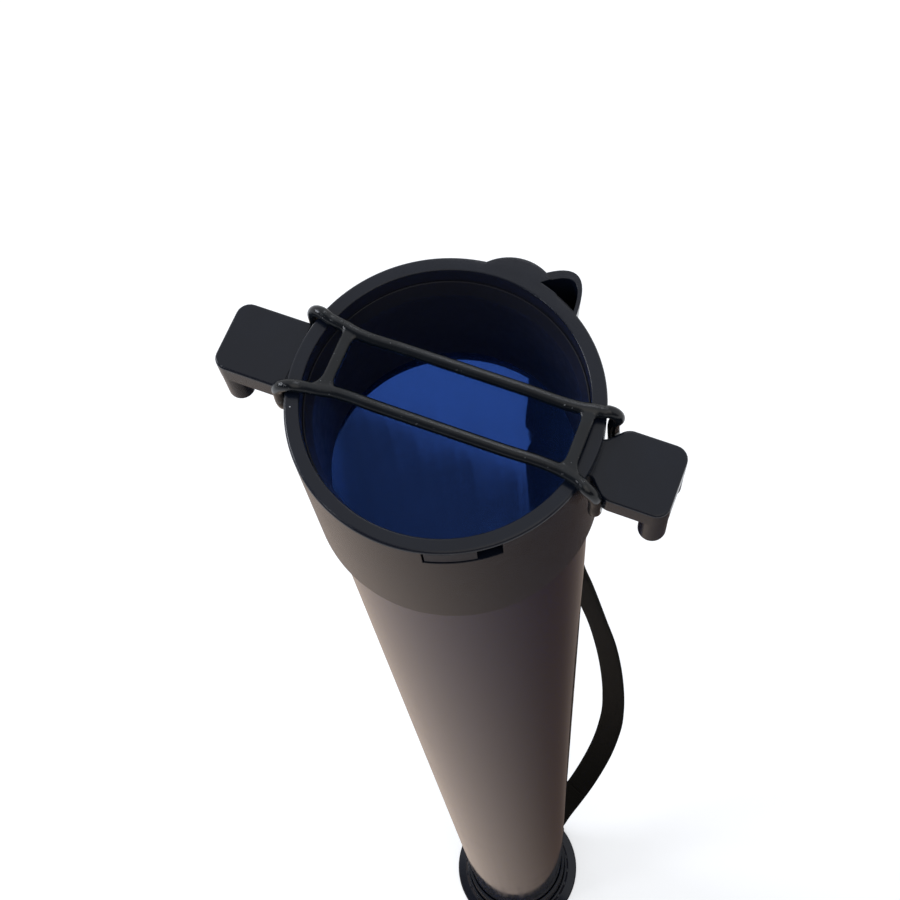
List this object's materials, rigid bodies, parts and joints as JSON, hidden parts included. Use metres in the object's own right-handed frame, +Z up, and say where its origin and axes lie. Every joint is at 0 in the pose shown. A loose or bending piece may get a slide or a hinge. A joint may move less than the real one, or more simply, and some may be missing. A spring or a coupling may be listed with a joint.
{
  "type": "tennis ball pickup tube",
  "caption": "Tall see-through ball pickup tube with a rubber band across its eared mouth, a webbing shoulder strap and a twist-off end cap.",
  "frame": {"origin": "on the floor, at the tube's axis, under the end cap's foot ring", "axes": "+Z up along the tube towards the mouth, X through the two ears, and the strap on the +Y side, 67 degrees from +X"},
  "size_m": [0.126, 0.159, 1.0339],
  "materials": {
    "tube_blue": "clear tinted, glossy",
    "black_moulding": "glossy",
    "black_liner": "glossy",
    "band_rubber": "smooth, slightly glossy",
    "foot_rubber": "matte",
    "webbing": "woven",
    "slider_plastic": "matte"
  },
  "bodies": {
    "barrel": {"tube": "tube_blue", "mouth_fitting": "black_moulding", "mouth_liner": "black_liner", "retaining_band": "band_rubber", "base_fitting": "black_moulding", "base_liner": "black_liner", "strap_webbing": "webbing", "strap_slider": "slider_plastic"},
    "cap": {"end_cap": "black_moulding", "foot_ring": "foot_rubber"}
  },
  "joints": [
    {"name": "cap_twist", "type": "hinge", "parent": "barrel", "child": "cap", "pos_m": [0, 0, 0.012], "axis": [0, 0, 1], "range_deg": [-25, 0]}
  ]
}
